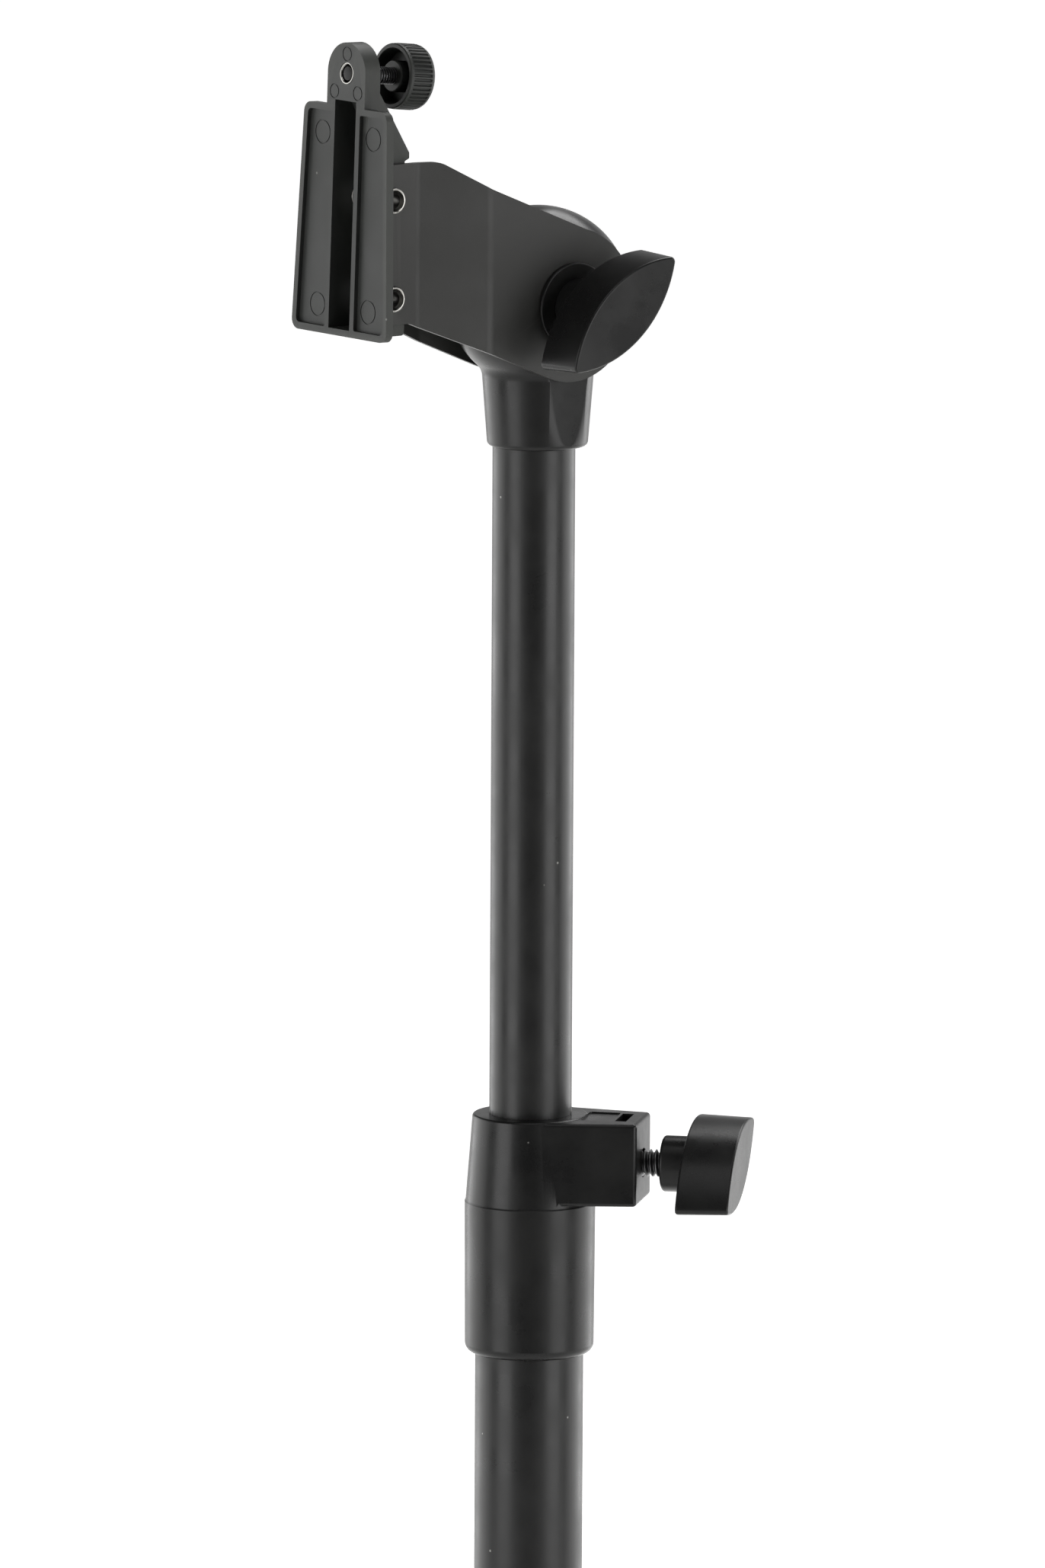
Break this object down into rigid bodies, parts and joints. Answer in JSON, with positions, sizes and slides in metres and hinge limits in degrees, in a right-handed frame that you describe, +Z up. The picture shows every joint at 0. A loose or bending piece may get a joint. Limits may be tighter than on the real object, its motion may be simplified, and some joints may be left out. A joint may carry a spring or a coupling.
{
  "type": "music stand",
  "caption": "Music stand without its desk: folding tripod base, telescopic post with a clamp collar, and a tilting head with a slotted quick-fit desk plate.",
  "frame": {"origin": "on the floor, on the axis of the post", "axes": "+Z up along the post, -Y towards the side that the desk faces, +X towards the tilt knob"},
  "size_m": [0.4612, 0.4014, 0.9121],
  "materials": {
    "painted_tube": "satin",
    "cast_black": "satin",
    "coated_sheet": "matte",
    "moulded_black": "satin",
    "rubber": "matte",
    "dark_steel": "satin",
    "bright_steel": "satin",
    "chrome_rivet": "polished"
  },
  "bodies": {
    "base": {"base_hub": "cast_black", "base_bolt": "dark_steel", "base_washer": "bright_steel", "lower_tube_plug": "dark_steel", "lower_tube": "painted_tube", "clamp_collar": "moulded_black", "clamp_nut": "bright_steel", "leg_bolts": "bright_steel", "leg_nuts": "bright_steel"},
    "leg_front": {"leg_front_tube": "painted_tube", "leg_front_tang": "cast_black", "leg_front_rivet": "dark_steel", "leg_front_foot": "rubber"},
    "leg_right": {"leg_right_tube": "painted_tube", "leg_right_tang": "cast_black", "leg_right_rivet": "dark_steel", "leg_right_foot": "rubber"},
    "leg_left": {"leg_left_tube": "painted_tube", "leg_left_tang": "cast_black", "leg_left_rivet": "dark_steel", "leg_left_foot": "rubber"},
    "bush": {"guide_bush": "moulded_black"},
    "post": {"bush_ring": "bright_steel", "upper_tube": "painted_tube", "tube_end_plug": "moulded_black", "tilt_head": "moulded_black", "friction_washers": "rubber"},
    "tilt": {"arm_right": "coated_sheet", "arm_left": "coated_sheet", "desk_plate": "moulded_black", "hollow_rivets": "chrome_rivet", "tab_insert": "bright_steel", "tilt_nut": "dark_steel"},
    "tilt_washer": {"tilt_washer": "moulded_black"},
    "tilt_knob": {"tilt_screw": "dark_steel", "tilt_knob": "moulded_black"},
    "clamp_shoe": {"clamp_shoe": "rubber"},
    "clamp_knob": {"clamp_screw": "dark_steel", "clamp_knob": "moulded_black"},
    "thumb_tip": {"thumb_tip": "rubber"},
    "thumb_knob": {"thumb_screw": "dark_steel", "thumb_knob": "moulded_black"}
  },
  "joints": [
    {"name": "leg_front_fold", "type": "hinge", "parent": "base", "child": "leg_front", "pos_m": [0, -0.034, 0.075], "axis": [1, 0, 0], "range_deg": [0, 72]},
    {"name": "leg_right_fold", "type": "hinge", "parent": "base", "child": "leg_right", "pos_m": [0.02944, 0.017, 0.075], "axis": [-0.5, 0.866, 0], "range_deg": [0, 72]},
    {"name": "leg_left_fold", "type": "hinge", "parent": "base", "child": "leg_left", "pos_m": [-0.02944, 0.017, 0.075], "axis": [-0.5, -0.866, 0], "range_deg": [0, 72]},
    {"name": "post_slide", "type": "slide", "parent": "base", "child": "bush", "axis": [0, 0, 1], "range_m": [-0.145, 0.24]},
    {"name": "post_swivel", "type": "hinge", "parent": "bush", "child": "post", "pos_m": [0, 0, 0.33], "axis": [0, 0, 1], "continuous": true},
    {"name": "desk_tilt", "type": "hinge", "parent": "post", "child": "tilt", "pos_m": [0, 0, 0.8492], "axis": [1, 0, 0], "range_deg": [-90, 50]},
    {"name": "tilt_screw_travel", "type": "slide", "parent": "tilt", "child": "tilt_washer", "axis": [1, 0, 0], "range_m": [0, 0.00254]},
    {"name": "tilt_knob_turn", "type": "hinge", "parent": "tilt_washer", "child": "tilt_knob", "pos_m": [0, 0, 0.8492], "axis": [1, 0, 0], "range_deg": [0, 720.1]},
    {"name": "clamp_screw_travel", "type": "slide", "parent": "base", "child": "clamp_shoe", "axis": [0.7547, 0.6561, 0], "range_m": [0, 0.00254]},
    {"name": "clamp_knob_turn", "type": "hinge", "parent": "clamp_shoe", "child": "clamp_knob", "pos_m": [0, 0, 0.6498], "axis": [0.7547, 0.6561, 0], "range_deg": [0, 720.1]},
    {"name": "thumb_screw_travel", "type": "slide", "parent": "tilt", "child": "thumb_tip", "axis": [0, 0.9936, -0.1132], "range_m": [-0.0049, 0.0014]},
    {"name": "thumb_knob_turn", "type": "hinge", "parent": "thumb_tip", "child": "thumb_knob", "pos_m": [0, -0.05441, 0.90496], "axis": [0, 0.9936, -0.1132], "range_deg": [-2520.1, 720.1]}
  ],
  "couplings": [
    {"joint": "tilt_knob_turn", "follows": "tilt_screw_travel", "rad_per_m": 4947.4},
    {"joint": "clamp_knob_turn", "follows": "clamp_screw_travel", "rad_per_m": 4947.4},
    {"joint": "thumb_knob_turn", "follows": "thumb_screw_travel", "rad_per_m": 8976}
  ]
}
